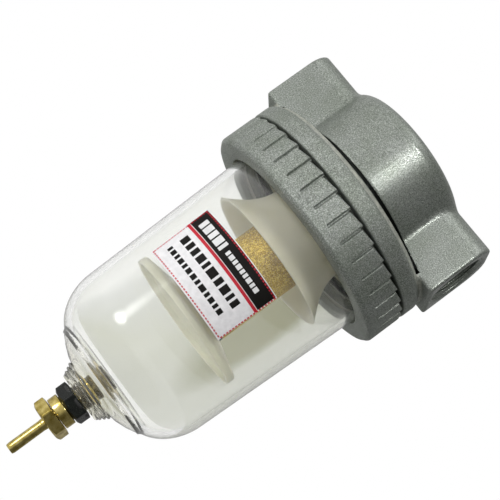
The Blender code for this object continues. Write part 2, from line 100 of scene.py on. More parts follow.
PORT_HALF_WIDTH, PORT_TOP, PORT_BOTTOM, PORT_CORNER = 14.4, 13.6, -13.0, 9.0
THREAD_RADIUS, THREAD_DEPTH, THREAD_PITCH = 10.5, 16.0, 1.814
PASSAGE_RADIUS, INLET_END = 9.3, 17.0  # the inlet passage stops this far from the axis
DESCENT_X, DESCENT_RADIUS, DESCENT_TOP, DESCENT_BOTTOM = -21.5, 6.0, 1.0, -18.0  # inlet to chamber
DOME_RADIUS, DOME_ROUNDING, DOME_CROWN = 28.2, 4.6, 0.7
FLANGE_TOP, FLANGE_BOTTOM, FLANGE_CHAMFER = -12.9, -21.1, 2.6
SPIGOT_RADIUS, SPIGOT_BORE, SPIGOT_BOTTOM, SPIGOT_PITCH = 37.9, 31.6, -26.4, 2.0
CHAMBER_RADIUS, CHAMBER_ROOF, DEFLECTOR_SEAT = 29.6, -16.5, -24.0
NECK_RADIUS, NECK_BORE, NECK_BORE_TOP = 13.6, 9.0, 6.5
HUB_RADIUS, HUB_BORE, HUB_TOP, HUB_BOTTOM = 4.9, 2.8, -23.0, -29.4  # the stud screws into the hub
ARM_HALF_WIDTH, ARM_START, ARM_END, ARM_TOP, ARM_BOTTOM = 1.3, 3.6, 9.6, -23.6, -28.8
CREASE_RADIUS, CREASE_FOOT, CREASE_SLOPE = 39.2, -12.4, 0.26  # the groove above the flange
CREASE_HALF_WIDTH, CREASE_DEPTH = 0.6, 1.5
MATT_BELOW = -11.5  # the casting's lacquer is matt from here down
OPEN_END = 40.0  # how far a cut runs on past the casting's open end
CASTING_CELL = 0.5  # spacing of the grid that the casting's surface is drawn from
GROOVES, GROOVE_PHASE = 38, 2.4
GROOVE_WIDTH, GROOVE_DEPTH, GROOVE_END = 1.05, 1.15, -31.3
TOOTH = 1.1  # how far the collar's upper edge drops just past a groove
COLLAR_LIP_RADIUS, COLLAR_LIP_TOP, COLLAR_CHAMFER = 34.0, -33.4, 1.3
BOWL_FLANGE_BOTTOM, BOWL_TOP_RADIUS, BOWL_TAPER, BOWL_WALL = -32.0, 33.4, 0.032, 2.3
BOWL_SHOULDER, BOWL_FLOOR, BOWL_FLOOR_RADIUS = -96.5, -114.8, 21.0
BOWL_CORNER_TURN = 70.2  # degrees that the wall turns through on its way to the floor
CONE_POINTS = [(17.2, -117.3), (13.2, -118.9)]  # from the floor's edge to the ridges
RIDGES, RIDGE_PITCH, RIDGE_ROUNDING = 3, 1.25, 0.55
RIDGE_RADIUS, RIDGE_TOP, RIDGE_STEP = 10.9, -119.9, 0.75
BOSS_RADIUS, BOSS_BORE = 9.1, 5.2
SUMP_FLOOR, SUMP_RADIUS, SUMP_TOP = -121.0, 8.7, -117.4
LABEL_FROM, LABEL_TO = -125.5, -56.7
LABEL_LIFT, LABEL_SHEET, INK = 0.08, 0.12, 0.02  # gap under the label, its thickness, the ink's
HOOD_NECK_RADIUS, HOOD_RIM_RADIUS, HOOD_FLARE, HOOD_WALL = 17.4, 26.4, 1.9, 1.4
SWIRL_PLATE, SWIRL_SLOTS, SWIRL_SLANT = 2.0, 12, 35.0
BALL_SPACING, BALL_RADIUS, BALL_JITTER = 0.47, 0.29, 0.14
ELEMENT_BORE, ELEMENT_CELL, GASKET_BORE = 9.2, 0.18, 8.9
BAFFLE_WALL, BAFFLE_EDGE = 1.5, 3.0
BAFFLE_BOSS_RADIUS, BAFFLE_BOSS_BOTTOM, BAFFLE_BORE = 4.2, -79.4, 2.15
STUD_THREAD_LENGTH, STUD_PITCH, STUD_THREAD_DEPTH = 12.0, 0.8, 0.4
NUT_TURN = 25.0  # degrees from +X to a corner of every nut
BUSH_RADIUS, BUSH_BORE, DRAIN_GASKET_RADIUS = 5.75, 2.6, 8.2
SHANK_RADIUS, SHANK_PITCH, SHANK_GAP = 4.9, 1.0, 0.3
STEM_RADIUS, STEM_BORE, STEM_GROOVE, STEM_GROOVE_RADIUS = 2.2, 0.8, -124.0, 1.5
TUBE_RADIUS, TUBE_BORE = 2.0, 1.05


# ---------------- mesh building


def linked(name, data):
    obj = bpy.data.objects.new(name, data)
    bpy.context.scene.collection.objects.link(obj)
    return obj


def build(name, points, faces, material, body, *nodes, sharp=35.0):
    """A smooth-shaded piece from points in mm; it rides on body and stands for the CAD nodes."""
    mesh = bpy.data.meshes.new(name)
    mesh.from_pydata((np.asarray(points, float) * MM).tolist(), [], faces)
    mesh.materials.append(material)
    mesh.shade_smooth()
    mesh.set_sharp_from_angle(angle=radians(sharp))
    obj = linked(name, mesh)
    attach(obj, body)
    if nodes:
        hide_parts(*nodes)
    return obj


def bevel(obj, width):
    """Rounds the sharp edges of a piece, width in mm."""
    modifier = obj.modifiers.new("edge", "BEVEL")
    modifier.width = width * MM
    modifier.segments = 2
    modifier.limit_method = "ANGLE"
    modifier.angle_limit = radians(30)
    modifier.harden_normals = True
    return obj


def grid_faces(rows, columns):
    """Quads over a grid of points that closes on itself along its rows and its columns."""
    here = np.arange(rows * columns).reshape(rows, columns)
    there = np.roll(here, -1, 0)
    corners = [here, there, np.roll(there, -1, 1), np.roll(here, -1, 1)]
    return np.stack(corners, axis=-1).reshape(-1, 4).tolist()


def round_axis(radius, angle, height):
    return (radius * cos(angle), radius * sin(angle), height)


def turned(name, profile, material, body, *nodes, angles=None, sides=160, **options):
    """A closed outline swept round Z. profile(angle) gives its (radius, height) points, or is a list.

    The outline runs down its outer side and up its inner side.
    """
    if angles is None:
        angles = np.arange(sides) * 2 * pi / sides
    outline = profile if callable(profile) else lambda angle: profile
    columns = np.array([outline(angle) for angle in angles])
    radius, height = columns[:, :, 0].T, columns[:, :, 1].T
    points = np.stack([radius * np.cos(angles), radius * np.sin(angles), height], axis=-1)
    faces = grid_faces(*radius.shape)
    return build(name, points.reshape(-1, 3), faces, material, body, *nodes, **options)


def arc(centre, radius, start, end, steps=6):
    """Points on an arc, angles in degrees."""
    angles = np.radians(np.linspace(start, end, steps + 1))
    return [(centre[0] + radius * cos(a), centre[1] + radius * sin(a)) for a in angles]


def filleted(corners, steps=4):
    """A closed outline whose (x, y, fillet) corners are rounded."""
    points = []
    for i, (x, y, fillet) in enumerate(corners):
        here = np.array((x, y))
        before = np.array(corners[i - 1][:2]) - here
        after = np.array(corners[(i + 1) % len(corners)][:2]) - here
        if fillet == 0:
            points.append((x, y))
            continue
        before, after = before / np.linalg.norm(before), after / np.linalg.norm(after)
        half = np.arccos(np.clip(before @ after, -1, 1)) / 2
        reach = fillet / tan(half)
        start, end = here + before * reach, here + after * reach
        for t in np.linspace(0, 1, steps + 1):
            points.append(tuple((1 - t) ** 2 * start + t**2 * end + 2 * t * (1 - t) * here))
    return points


def ring(name, outer, inner, heights, material, body, *nodes, edge=0.2, sides=96):
    """A plain ring with rounded edges; heights are its top and its bottom."""
    top, bottom = heights
    corners = [(outer, top, edge), (outer, bottom, edge), (inner, bottom, edge), (inner, top, edge)]
    return turned(name, filleted(corners), material, body, *nodes, sides=sides)


def o_ring(name, node):
    """A seal of round cord, its size taken from the CAD node that it stands for."""
    top, bottom = span(node)
    cord_radius = (top - bottom) / 2
    centre = (radius_of(node) - cord_radius, (top + bottom) / 2)
    outline = arc(centre, cord_radius, 90, -270 + 360 / 20, steps=19)
    return turned(name, outline, RUBBER, BODY[node], node, sides=120)


def hex_radius(angle, flats):
    """Distance from the axis to a hexagon's side, with its corners slightly rounded."""
    turn = ((degrees(angle) - NUT_TURN) % 60) - 30
    corner = flats / 2 / cos(radians(30))
    return min(flats / 2 / cos(radians(turn)), corner - 0.12)


def hex_nut(name, node, material, flats, bore, chamfers=(25, 25), face=0.95):
    """A hexagon with a bore, its corners turned off at both ends.

    chamfers are the angles at its top and its bottom; face is the share of each end that stays flat.
    """
    top, bottom = span(node)
    flat, rim = flats / 2 * face, 0.3
    top_slope, bottom_slope = (tan(radians(angle)) for angle in chamfers)

    def outline(angle):
        side = hex_radius(angle, flats)
        fall, rise = (side - flat) * top_slope, (side - flat) * bottom_slope
        return [
            (bore + rim, top), (flat, top), (side, top - fall), (side, bottom + rise),
            (flat, bottom), (bore + rim, bottom), (bore, bottom + rim), (bore, top - rim),
        ]

    piece = turned(name, outline, material, BODY[node], node, sides=6 * 24, sharp=20.0)
    return bevel(piece, 0.1)


def thread(name, crest, root, pitch, start, end, back, material, body, axis="Z"):
    """A ring whose one side is a helical thread, crest to root, and whose other side is plain.

    back is the plain side's radius. The thread fades out at both ends.
    """
    sides, steps, fade = 96, 10, 0.9 * pitch
    count = int(abs(end - start) / pitch * steps)
    angles = np.arange(sides) * 2 * pi / sides
    height = np.linspace(start, end, count + 1)[:, None]
    phase = (height / pitch - angles[None, :] / (2 * pi)) % 1.0
    tooth = np.clip(1.5 - np.abs(phase - 0.5) * 4, 0, 1)
    margin = np.minimum(np.abs(height - start), np.abs(height - end)) / fade
    radius = root + (crest - root) * (tooth * np.clip(margin, 0, 1))
    radius = np.concatenate([radius, np.full((2, sides), back)])
    height = np.repeat(np.concatenate([height, [[end], [start]]]), sides, 1)
    across, up = radius * np.cos(angles), radius * np.sin(angles)
    order = (across, up, height) if axis == "Z" else (height, across, up)
    points = np.stack(order, axis=-1)
    if (root < back) == (end > start):
        points = points[::-1]
    faces = grid_faces(len(points), sides)
    return build(name, points.reshape(-1, 3), faces, material, body, sharp=50.0)


def rod(name, radius, material, node):
    """A solid round bar as long as the CAD node; its ends close on a speck of a hole."""
    top, bottom = span(node)
    speck, edge = 0.02, 0.3
    corners = [(radius, top, edge), (radius, bottom, edge), (speck, bottom, 0), (speck, top, 0)]
    return turned(name, filleted(corners), material, BODY[node], node, sides=48)


# ---------------- a surface drawn from a distance field


def soft_min(a, b, reach):
    """The lower of two distances, blended where they are within reach, which makes a fillet."""
    overlap = np.maximum(reach - np.abs(a - b), 0) / reach
    return np.minimum(a, b) - overlap**2 * reach / 4


def soft_max(a, b, reach):
    return -soft_min(-a, -b, reach)


def box_distance(u, v, rounding):
    """Distance to a rounded edge, from the distances u and v past its two sides."""
    a, b = u + rounding, v + rounding
    outside = np.hypot(np.maximum(a, 0), np.maximum(b, 0))
    return np.minimum(np.maximum(a, b), 0) + outside - rounding


def past(value, lowest, highest):
    """Distance outside a range, negative inside it."""
    return np.maximum(lowest - value, value - highest)


def disc(radius_at, height_at, radius, top, bottom, rounding):
    """Distance to a flat cylinder with rounded edges."""
    return box_distance(radius_at - radius, past(height_at, bottom, top), rounding)


def port_block(x, y, z, side):
    """Distance to one port block: flat sides and floor, two rounded upper edges."""
    rounding = np.where(z > (PORT_TOP + PORT_BOTTOM) / 2, PORT_CORNER, 1.1)
    section = box_distance(np.abs(y) - PORT_HALF_WIDTH, past(z, PORT_BOTTOM, PORT_TOP), rounding)
    return box_distance(section, past(side * x, 0, PORT_END), rounding=0.9)


def casting_outside(x, y, z, from_axis):
    """Dome, flange, ports and spigot, with the groove that lies above the flange."""
    crown = DOME_CROWN * np.minimum(from_axis / DOME_RADIUS, 1.2) ** 2
    dome = disc(from_axis, z + crown, DOME_RADIUS, HEAD_TOP, FLANGE_BOTTOM + 2, DOME_ROUNDING)
    flange = disc(from_axis, z, FLANGE_RADIUS, FLANGE_TOP, FLANGE_BOTTOM, rounding=0.5)
    slope = (from_axis - FLANGE_RADIUS + z - FLANGE_TOP + FLANGE_CHAMFER) / sqrt(2)
    flange = soft_max(flange, slope, reach=0.7)
    body = soft_min(dome, flange, reach=1.0)
    for side in (-1, 1):
        body = soft_min(body, port_block(x, y, z, side), reach=1.6)
    crease = CREASE_FOOT + CREASE_SLOPE * (CREASE_RADIUS - from_axis)
    groove = np.maximum(np.abs(z - crease) - CREASE_HALF_WIDTH, -CREASE_DEPTH - body)
    groove = np.maximum(groove, from_axis - CREASE_RADIUS)
    body = soft_max(body, -groove, reach=0.2)
    spigot = disc(from_axis, z, SPIGOT_RADIUS - 0.8, CHAMBER_ROOF, SPIGOT_BOTTOM, rounding=0.5)
    return np.minimum(body, spigot)


def ring_chamber(from_axis, z):
    """The room round the neck, and the wider seat of the deflector below it."""
    room = disc(from_axis, z, CHAMBER_RADIUS, CHAMBER_ROOF, CHAMBER_ROOF - OPEN_END, rounding=1.2)
    seat = disc(from_axis, z, SPIGOT_BORE, DEFLECTOR_SEAT, DEFLECTOR_SEAT - OPEN_END, rounding=0.3)
    return np.minimum(room, seat)


def with_passages(body, x, y, z, from_axis):
    """The body with its two ports, the way down from the inlet and the neck's bore cut out."""
    across = np.hypot(y, z)
    bore = THREAD_RADIUS + 0.3
    for side, inner_end in ((-1, INLET_END), (1, 0.0)):
        passage = np.maximum(across - PASSAGE_RADIUS, inner_end - side * x)
        socket = np.maximum(across - bore, PORT_END - THREAD_DEPTH - side * x)
        mouth = (across - bore - 1.0 + PORT_END - side * x) / sqrt(2)
        body = soft_max(body, -np.minimum(passage, socket), reach=0.5)
        body = soft_max(body, -mouth, reach=0.4)
    descent = np.maximum(np.hypot(x - DESCENT_X, y) - DESCENT_RADIUS, past(z, DESCENT_BOTTOM, DESCENT_TOP))
    neck_bore = np.maximum(from_axis - NECK_BORE, z - NECK_BORE_TOP)
    return soft_max(body, -np.minimum(descent, neck_bore), reach=0.5)


def stud_hub(x, y, z, from_axis):
    """A sleeve on three arms in the neck, which holds the stud."""
    hub = np.maximum(past(from_axis, HUB_BORE, HUB_RADIUS), past(z, HUB_BOTTOM, HUB_TOP))
    for turn in (30, 150, 270):
        a = radians(turn)
        outward, sideways = x * cos(a) + y * sin(a), y * cos(a) - x * sin(a)
        arm = np.maximum(np.abs(sideways) - ARM_HALF_WIDTH, past(outward, ARM_START, ARM_END))
        hub = np.minimum(hub, np.maximum(arm, past(z, ARM_BOTTOM, ARM_TOP)))
    return hub


def casting(x, y, z):
    """Distance in mm from points to the head casting, negative inside it."""
    from_axis = np.hypot(x, y)
    body = casting_outside(x, y, z, from_axis)
    body = soft_max(body, -ring_chamber(from_axis, z), reach=0.5)
    neck = disc(from_axis, z, NECK_RADIUS, CHAMBER_ROOF + 3, NECK_BOTTOM, rounding=0.5)
    body = soft_min(body, neck, reach=1.2)
    body = with_passages(body, x, y, z, from_axis)
    return soft_min(body, stud_hub(x, y, z, from_axis), reach=0.8)


def surface_of(distance, lowest, highest, cell):
    """Points and quads of distance() == 0: one point in each grid cell that the surface crosses.

    Each starts in the middle of its cell and moves onto the surface in a few steps.
    """
    steps, nudge, least_steepness = 4, 0.02, 0.2
    axes = [np.arange(a - 1.5 * cell, b + 2 * cell, cell) for a, b in zip(lowest, highest)]
    inside = distance(*np.meshgrid(*axes, indexing="ij")) < 0
    corners = [inside[i : i - 1 or None, j : j - 1 or None, k : k - 1 or None]
               for i in (0, 1) for j in (0, 1) for k in (0, 1)]
    count = sum(corner.astype(int) for corner in corners)
    crossed = (count > 0) & (count < 8)
    index = np.full(crossed.shape, -1)
    index[crossed] = np.arange(crossed.sum())
    origin = np.array([axis[0] for axis in axes])
    points = origin + (np.argwhere(crossed) + 0.5) * cell
    for _ in range(steps):
        value = distance(*points.T)
        rises = [distance(*(points + offset).T) - distance(*(points - offset).T)
                 for offset in np.eye(3) * nudge]
        slope = np.stack(rises, axis=-1) / (2 * nudge)
        steepness = np.maximum((slope**2).sum(1), least_steepness)
        points = points - np.clip(value / steepness, -cell, cell)[:, None] * slope
    faces = []
    for axis in range(3):
        edge = inside != np.roll(inside, -1, axis)
        places = np.argwhere(edge[(slice(1, -1),) * 3]) + 1
        first, second = np.delete(np.eye(3, dtype=int), axis, 0)
        moves = (0 * first, first, first + second, second)
        quads = np.stack([index[tuple((places - move).T)] for move in moves], axis=-1)
        leaving = inside[tuple(places.T)] ^ (axis == 1)
        quads[leaving] = quads[leaving][:, ::-1]
        faces.append(quads)
    return points, np.concatenate(faces).tolist()


# ---------------- materials


def material_for(slot, name=None, **constants):
    """A Principled material, its plain values set on the shader itself."""
    material = bpy.data.materials.new(name or slot)
    material["slot"] = slot
    material.use_nodes = True
    shader = material.node_tree.nodes["Principled BSDF"]
    for key, value in constants.items():
        shader.inputs[key.replace("_", " ")].default_value = value
    return material


def node(material, kind, inputs=None, **settings):
    """A new shader node; its inputs are sockets to link, or values."""
    made = material.node_tree.nodes.new("ShaderNode" + kind)
    for key, value in settings.items():
        setattr(made, key, value)
    for key, value in (inputs or {}).items():
        if isinstance(value, bpy.types.NodeSocket):
            material.node_tree.links.new(value, made.inputs[key])
        else:
            made.inputs[key].default_value = value
    return made


def place(material, stretch=(1, 1, 1)):
    """Object-space coordinates, stretched along an axis where the pattern has a direction."""
    source = node(material, "TexCoord").outputs["Object"]
    return node(material, "Mapping", {"Vector": source, "Scale": stretch}).outputs["Vector"]


def noise(material, size, detail=2.0, stretch=(1, 1, 1)):
    """Noise whose features are about size mm across."""
    inputs = {"Vector": place(material, stretch), "Scale": 1 / (size * MM), "Detail": detail}
    return node(material, "TexNoise", inputs).outputs["Fac"]


def cells(material, size, output="Distance"):
    inputs = {"Vector": place(material), "Scale": 1 / (size * MM)}
    return node(material, "TexVoronoi", inputs).outputs[output]


def spread(material, value, low_in, high_in, low_out, high_out):
    """Maps a value from one range to another, clamped."""
    ends = {"From Min": low_in, "From Max": high_in, "To Min": low_out, "To Max": high_out}
    return node(material, "MapRange", {"Value": value, **ends}).outputs["Result"]


def reckon(material, operation, *values):
    """One step of arithmetic on values in a shader."""
    return node(material, "Math", dict(enumerate(values)), operation=operation).outputs[0]


def ramp(material, value, stops):
    """A colour ramp; stops are (position, linear RGB)."""
    made = node(material, "ValToRGB", {"Fac": value})
    elements = made.color_ramp.elements
    while len(elements) < len(stops):
        elements.new(0.5)
    for element, (position, colour) in zip(elements, stops):
        element.position = position
        element.color = (*colour, 1)
    return made.outputs["Color"]


def mixed(material, a, b, factor, blend="MIX"):
    inputs = {0: factor, 6: a, 7: b}
    return node(material, "Mix", inputs, data_type="RGBA", blend_type=blend).outputs[2]


def connect(material, **sockets):
    shader = material.node_tree.nodes["Principled BSDF"]
    for key, value in sockets.items():
        material.node_tree.links.new(value, shader.inputs[key.replace("_", " ")])


def bumped(material, height, depth, strength=1.0):
    """Surface relief of about depth mm."""
    inputs = {"Height": height, "Distance": depth * MM, "Strength": strength}
    connect(material, Normal=node(material, "Bump", inputs).outputs["Normal"])


def coated(m, pattern, dark, light, gloss, relief, stops=(0.3, 0.7)):
    """The material m, coloured between two tones by a pattern.

    gloss is another pattern and the roughness at its ends; relief is what bumped() takes.
    """
    rough, hollow, top = gloss
    tone = ramp(m, pattern, list(zip(stops, (dark, light))))
    connect(m, Base_Color=tone, Roughness=spread(m, rough, 0.3, 0.7, hollow, top))
    bumped(m, *relief)
    return m


def window(m, value, low_end, high_end, fade):
    """1 where value, in metres, lies between two ends given in mm, falling to 0 over fade mm."""
    above = spread(m, value, (low_end - fade) * MM, low_end * MM, 0.0, 1.0)
    below = spread(m, value, high_end * MM, (high_end + fade) * MM, 1.0, 0.0)
    return reckon(m, "MULTIPLY", above, below)


def height_and_radius(m):
    """A point's height and its distance from the bowl's axis, in metres."""
    at = node(m, "SeparateXYZ", {"Vector": place(m)}).outputs
    flat = node(m, "CombineXYZ", {"X": at["X"], "Y": at["Y"]}).outputs[0]
    radius = node(m, "VectorMath", {0: flat}, operation="LENGTH").outputs["Value"]
    return at["Z"], radius


def painted_chamfer_highlight(m):
    """1 on the flange's upper chamfer, where a painted highlight lightens the lacquer in a band broken up
    by noise, and 0 elsewhere.
    """
    height, radius = height_and_radius(m)
    level = window(m, height, FLANGE_TOP - 1.5, FLANGE_TOP + 0.15, 0.3)
    highlight_band = reckon(m, "MULTIPLY", level, window(m, radius, CREASE_RADIUS, FLANGE_RADIUS - 0.7, 0.4))
    return reckon(m, "MULTIPLY", highlight_band, spread(m, noise(m, 1.6, 3.0), 0.35, 0.65, 0.3, 0.9))


def painted_crease_shade(m):
    """1 in the groove above the flange, where shade is painted in, and 0 elsewhere."""
    height, radius = height_and_radius(m)
    level = reckon(m, "MULTIPLY_ADD", radius, CREASE_SLOPE, height)
    middle = CREASE_FOOT + CREASE_SLOPE * CREASE_RADIUS
    groove = window(m, level, middle - CREASE_HALF_WIDTH, middle + CREASE_HALF_WIDTH, 0.15)
    return reckon(m, "MULTIPLY", groove, window(m, radius, 0.0, CREASE_RADIUS, 0.1))


def cast_aluminium(name="cast_aluminium", gloss=(0.40, 0.30), painted_light_and_shade=False):
    """Cast aluminium under a silver lacquer: fine sparkling grain and faint cloudiness.

    gloss is the roughness of the grain's hollows and of its tops; the last flag adds a painted highlight
    on the flange's upper chamfer and painted shade in the groove above it.
    """
    m = material_for("cast_aluminium", name, Metallic=0.62, IOR=1.5)
    grain, cloud = noise(m, 0.36, 3.0), noise(m, 9.0)
    fleck = cells(m, 0.34, "Color")
    grey = [(0.32, (0.165, 0.18, 0.16)), (0.52, (0.315, 0.338, 0.308)), (0.72, (0.56, 0.59, 0.545))]
    clouded = ramp(m, cloud, [(0.35, (0.86, 0.88, 0.84)), (0.65, (1.0, 1.0, 1.0))])
    colour = mixed(m, ramp(m, grain, grey), clouded, 1.0, "MULTIPLY")
    # painted highlight: the flange's upper chamfer is lightened to a pale grey
    if painted_light_and_shade:
        colour = mixed(m, colour, (0.62, 0.63, 0.55, 1), painted_chamfer_highlight(m))
    sparkle = ramp(m, fleck, [(0.0, (0.60, 0.60, 0.59)), (0.85, (1.0, 1.0, 1.0))])
    colour = mixed(m, colour, sparkle, 0.4, "MULTIPLY")
    # painted shade: the groove above the flange is darkened almost to black
    if painted_light_and_shade:
        colour = mixed(m, colour, (0.02, 0.022, 0.02, 1), painted_crease_shade(m))
    connect(m, Base_Color=colour, Roughness=spread(m, grain, 0.3, 0.7, *gloss))
    bumped(m, reckon(m, "ADD", grain, fleck), 0.05, 0.6)
    return m


def clear_plastic():
    """Polycarbonate: clear, amber where it is thick at the drain, with fine handling scratches."""
    m = material_for("clear_plastic", Transmission_Weight=0.97, IOR=1.49)
    haze, ripple = noise(m, 14.0), noise(m, 6.0, 1.0, stretch=(1, 1, 0.25))
    scratch = noise(m, 0.5, stretch=(1, 1, 0.05))
    clear = ramp(m, haze, [(0.3, (0.965, 0.97, 0.945)), (0.7, (0.985, 0.988, 0.972))])
    thick = window(m, height_and_radius(m)[0], -140.0, -118.0, 4.0)
    tinted = mixed(m, clear, (0.90, 0.885, 0.79, 1), thick)
    connect(m, Base_Color=tinted, Roughness=spread(m, scratch, 0.45, 0.75, 0.02, 0.07))
    bumped(m, ripple, 0.03, 0.3)
    return m


def milky_plastic():
    """The hood's translucent plastic; light spreads a few millimetres through it."""
    m = material_for(
        "milky_plastic", Transmission_Weight=0.35, IOR=1.5, Subsurface_Weight=0.25,
        Subsurface_Radius=(0.004, 0.004, 0.003), Subsurface_Scale=1.0,
    )
    cloud, grain = noise(m, 8.0), noise(m, 0.8)
    dark, light = (0.74, 0.715, 0.545), (0.82, 0.80, 0.65)
    return coated(m, cloud, dark, light, (grain, 0.28, 0.42), (grain, 0.02, 0.4))


def pale_plastic():
    m = material_for("pale_plastic", Transmission_Weight=0.6, IOR=1.5)
    cloud, grain = noise(m, 7.0), noise(m, 0.8)
    dark, light = (0.81, 0.80, 0.65), (0.88, 0.87, 0.73)
    return coated(m, cloud, dark, light, (grain, 0.3, 0.45), (grain, 0.02, 0.4))


def sintered_bronze():
    """Small bronze balls fused together, each with its own tone, darker in the gaps."""
    m = material_for("sintered_bronze", Metallic=0.8)
    ball, shade = cells(m, 0.38, "Color"), noise(m, 5.0)
    tones = [(0.1, (0.33, 0.20, 0.015)), (0.5, (0.56, 0.37, 0.025)), (0.95, (0.96, 0.76, 0.16))]
    dark = ramp(m, shade, [(0.3, (0.86, 0.84, 0.80)), (0.7, (1.0, 1.0, 1.0))])
    colour = mixed(m, ramp(m, ball, tones), dark, 1.0, "MULTIPLY")
    connect(m, Base_Color=colour, Roughness=spread(m, shade, 0.3, 0.7, 0.42, 0.6))
    bumped(m, cells(m, 0.38), 0.06, 0.5)
    return m


def brass(name="brass", depth=1.0):
    """Turned brass: fine tool rings, faint tarnish; a depth under 1 darkens the brass as painted shade."""
    m = material_for("brass", name, Metallic=1.0)
    rings, tarnish = noise(m, 0.6, stretch=(0.1, 0.1, 6.0)), noise(m, 2.2, 3.0)
    dark, light = (tuple(depth * c for c in tone) for tone in ((0.35, 0.26, 0.05), (0.78, 0.64, 0.24)))
    return coated(m, tarnish, dark, light, (tarnish, 0.24, 0.13), (rings, 0.012, 0.5))


def black_plastic():
    m = material_for("black_plastic", Specular_IOR_Level=0.3)
    grain, dust = noise(m, 0.35), noise(m, 3.0, 3.0)
    dark, light = (0.006, 0.007, 0.006), (0.013, 0.016, 0.013)
    return coated(m, dust, dark, light, (grain, 0.22, 0.36), (grain, 0.02, 0.4), stops=(0.35, 0.75))


def steel():
    m = material_for("steel", Metallic=1.0)
    rings, stain = noise(m, 0.5, stretch=(0.1, 0.1, 5.0)), noise(m, 2.5, 3.0)
    dark, light = (0.42, 0.42, 0.41), (0.62, 0.62, 0.60)
    return coated(m, stain, dark, light, (stain, 0.38, 0.24), (rings, 0.01, 0.5))


def mottled(slot, size, dark, light, gloss, relief, name=None, **constants):
    """A material whose tone, roughness and relief all follow one noise."""
    m = material_for(slot, name, **constants)
    grain = noise(m, size, 3.0)
    return coated(m, grain, dark, light, (grain, *gloss), (grain, *relief))


def rubber():
    return mottled("rubber", 0.3, (0.010, 0.010, 0.010), (0.030, 0.030, 0.029), (0.45, 0.62), (0.03, 0.5))


def slip_plastic():
    dark, light = (0.62, 0.61, 0.57), (0.76, 0.75, 0.71)
    return mottled("slip_plastic", 1.2, dark, light, (0.35, 0.5), (0.02, 0.4))


def print_on(name, colour, gleam=0.5):
    """Label stock or ink: the given colour with a faint mottle."""
    dark, gloss, relief = tuple(0.86 * c for c in colour), (0.4, 0.52), (0.01, 0.3)
    return mottled("label_paper", 1.6, dark, colour, gloss, relief, name, Specular_IOR_Level=gleam)


CAST = cast_aluminium()
CAST_HEAD = cast_aluminium("cast_aluminium_head", painted_light_and_shade=True)
CAST_FLANGE = cast_aluminium("cast_aluminium_flange", gloss=(0.62, 0.50), painted_light_and_shade=True)
CAST_MATT = cast_aluminium("cast_aluminium_ring", gloss=(0.62, 0.50))
CLEAR = clear_plastic()
MILKY = milky_plastic()
PALE = pale_plastic()
BRONZE = sintered_bronze()
BRASS = brass()
# brass darkened almost to black: painted shade in place of the dark reflection on the drain's shank
BRASS_PAINTED_SHADE = brass("brass_painted_shade", 0.12)
BLACK = black_plastic()
STEEL = steel()
RUBBER = rubber()
SLIP = slip_plastic()
LABEL_WHITE = print_on("label_white", (0.86, 0.85, 0.86))
INK_BLACK = print_on("ink_black", (0.008, 0.007, 0.006), gleam=0.12)
INK_RED = print_on("ink_red", (0.56, 0.022, 0.04), gleam=0.2)
INK_WHITE = print_on("ink_white", (0.80, 0.80, 0.80))


# ---------------- camera


def make_camera():
    """Looks at the filter from its front, a little from below, with the picture turned."""
    azimuth, elevation, roll = radians(14.147), radians(-8.534), radians(53.994)
    data = bpy.data.cameras.new("camera")
    data.lens = 98.261
    camera = linked("camera", data)
    camera.location = (0.1051, -0.44332, -0.11729)
    aim = Matrix.Rotation(azimuth, 3, "Z") @ Matrix.Rotation(pi / 2 - elevation, 3, "X")
    camera.rotation_euler = (aim @ Matrix.Rotation(roll, 3, "Z")).to_euler()
    bpy.context.scene.camera = camera


# ---------------- head


def make_head():
    """The casting is matt on its flange and below; the three threads are pieces of their own."""
    points, faces = surface_of(casting, low("head_casting"), high("head_casting"), CASTING_CELL)
    shell = build("head_shell", points, faces, CAST_HEAD, "head", "head_casting", sharp=60.0)
    shell.data.materials.append(CAST_FLANGE)
    for face in shell.data.polygons:
        face.material_index = int(face.center.z < MATT_BELOW * MM)
    for name, side in (("inlet_thread", -1), ("outlet_thread", 1)):
        thread(
            name, THREAD_RADIUS - 1.0, THREAD_RADIUS, THREAD_PITCH, side * (PORT_END - THREAD_DEPTH),
            side * (PORT_END - 0.5), THREAD_RADIUS + 0.5, CAST, "head", axis="X",
        )
    thread(
        "spigot_thread", SPIGOT_RADIUS, SPIGOT_RADIUS - 0.9, SPIGOT_PITCH, FLANGE_BOTTOM - 0.4,
        SPIGOT_BOTTOM + 0.3, SPIGOT_RADIUS - 1.4, CAST, "head",
    )


# ---------------- collar


def collar_side(off):
    """The collar's outer side, off mm from the middle of a groove: points with the groove taken off."""
    half = GROOVE_WIDTH / 2
    heights = np.concatenate([
        np.linspace(COLLAR_TOP - TOOTH - 0.5, GROOVE_END + 1.3, 9),
        np.linspace(GROOVE_END + 1.1, GROOVE_END - 0.5, 17),
        np.linspace(GROOVE_END - 0.9, COLLAR_BOTTOM + COLLAR_CHAMFER + 0.3, 4),
    ])
    inward = half - np.hypot(off, np.maximum(GROOVE_END + half - heights, 0))
    cut = np.clip((inward + 0.12) / 0.3, 0, 1)
    return list(zip(COLLAR_RADIUS - GROOVE_DEPTH * cut * cut * (3 - 2 * cut), heights))


